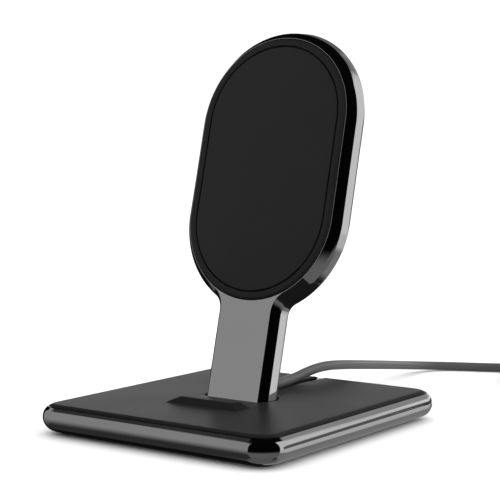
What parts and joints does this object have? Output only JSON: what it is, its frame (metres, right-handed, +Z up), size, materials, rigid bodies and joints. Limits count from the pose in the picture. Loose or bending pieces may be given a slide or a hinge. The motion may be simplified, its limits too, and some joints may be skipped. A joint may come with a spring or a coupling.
{
  "type": "wireless phone charging stand",
  "caption": "Desk charging stand: weighted rounded base, leaning stem with a pill-shaped hoop that holds a flat charging puck, phone stop ridge and a lead that leaves at the back.",
  "frame": {"origin": "middle of the base's underside, on the desk", "axes": "+Z up, -Y towards the user (the side the charging face looks to), +X to the user's right"},
  "size_m": [0.1337, 0.2187, 0.1323],
  "materials": {
    "polished_gunmetal": "polished dark chrome plating",
    "soft_touch_pad": "soft-touch satin",
    "puck_face": "matt silicone",
    "puck_shell": "fine matt",
    "steel": "zinc plated",
    "cover_plate": "matt paint",
    "foot_rubber": "matt",
    "copper_winding": "enamelled wire",
    "ferrite": "pressed, matt",
    "carrier_plastic": "as moulded",
    "board": "solder mask",
    "chip_plastic": "as moulded",
    "capacitor_ceramic": "ceramic",
    "heat_pad": "soft",
    "plug_metal": "nickel plated",
    "lead_jacket": "matt jacket",
    "tongue_plastic": "as moulded",
    "tie_fabric": "woven"
  },
  "bodies": {
    "root": {"arm": "polished_gunmetal", "arm_screws": "steel", "ballast_plate": "steel", "base_casting": "polished_gunmetal", "base_top_pad": "soft_touch_pad", "board_screws": "steel", "bottom_cover": "cover_plate", "cable_tie": "tie_fabric", "capacitors": "capacitor_ceramic", "charging_coil": "copper_winding", "circuit_board": "board", "coil_carrier": "carrier_plastic", "control_chip": "chip_plastic", "cover_screws": "steel", "far_plug_body": "lead_jacket", "far_plug_shell": "plug_metal", "far_plug_tongue": "tongue_plastic", "ferrite_sheet": "ferrite", "foot_pad": "foot_rubber", "heat_pad": "heat_pad", "inductor": "ferrite", "lead_coil": "lead_jacket", "lead_tail": "lead_jacket", "lead_tube": "lead_jacket", "plug_body": "lead_jacket", "plug_shell": "plug_metal", "puck_bezel": "puck_shell", "puck_face_pad": "puck_face", "puck_rear_shell": "puck_shell", "puck_socket": "plug_metal"}
  },
  "joints": []
}
